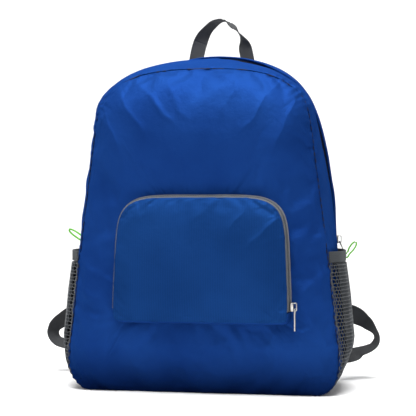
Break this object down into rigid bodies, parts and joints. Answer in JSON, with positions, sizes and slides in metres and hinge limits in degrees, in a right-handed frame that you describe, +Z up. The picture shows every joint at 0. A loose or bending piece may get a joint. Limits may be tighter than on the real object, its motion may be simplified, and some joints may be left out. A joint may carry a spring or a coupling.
{
  "type": "packable backpack",
  "caption": "Packable nylon backpack with a zipped front pocket, net side pockets, a webbing grab handle, padded shoulder straps and zip pulls that swing.",
  "frame": {"origin": "middle of the flat base, where the bag stands on a surface", "axes": "+Z up, the front of the bag and its zipped pocket face -Y, +X to the right as seen from the front"},
  "size_m": [0.477, 0.2451, 0.5],
  "materials": {
    "blue_cloth": "thin plain-woven nylon with a soft sheen",
    "navy_zip": "coil zip on woven tape",
    "grey_zip": "coil zip on woven tape",
    "charcoal_webbing": "ribbed woven webbing, dull",
    "charcoal_net": "knitted net, dull",
    "charcoal_elastic": "woven elastic, dull",
    "black_plastic": "moulded, fine grain",
    "nickel": "plated, lightly worn",
    "green_ribbon": "narrow woven ribbon"
  },
  "bodies": {
    "bag": {"front_panel": "blue_cloth", "gusset": "blue_cloth", "main_zip": "navy_zip", "back_panel": "blue_cloth", "pocket_face": "blue_cloth", "pocket_zip": "grey_zip", "pocket_base": "blue_cloth", "grab_handle": "charcoal_webbing", "pocket_slider": "nickel", "net_pocket_left": "charcoal_net", "pocket_band_left": "charcoal_elastic", "shoulder_pad_left": "blue_cloth", "adjuster_left": "black_plastic", "strap_webbing_left": "charcoal_webbing", "main_slider_left": "nickel", "net_pocket_right": "charcoal_net", "pocket_band_right": "charcoal_elastic", "shoulder_pad_right": "blue_cloth", "adjuster_right": "black_plastic", "strap_webbing_right": "charcoal_webbing", "main_slider_right": "nickel"},
    "front_pull": {"pocket_pull": "nickel"},
    "left_pull": {"main_pull_left": "nickel", "pull_loop_left": "green_ribbon"},
    "right_pull": {"main_pull_right": "nickel", "pull_loop_right": "green_ribbon"}
  },
  "joints": [
    {"name": "front_pull_hinge", "type": "hinge", "parent": "bag", "child": "front_pull", "pos_m": [0.1228, -0.10602, 0.11115], "axis": [0, -1, 0], "range_deg": [0, 140]},
    {"name": "left_pull_hinge", "type": "hinge", "parent": "bag", "child": "left_pull", "pos_m": [-0.16667, 0.0595, 0.19065], "axis": [0, 1, 0], "range_deg": [0, 55]},
    {"name": "right_pull_hinge", "type": "hinge", "parent": "bag", "child": "right_pull", "pos_m": [0.16582, 0.0595, 0.19065], "axis": [0, -1, 0], "range_deg": [0, 75]}
  ]
}
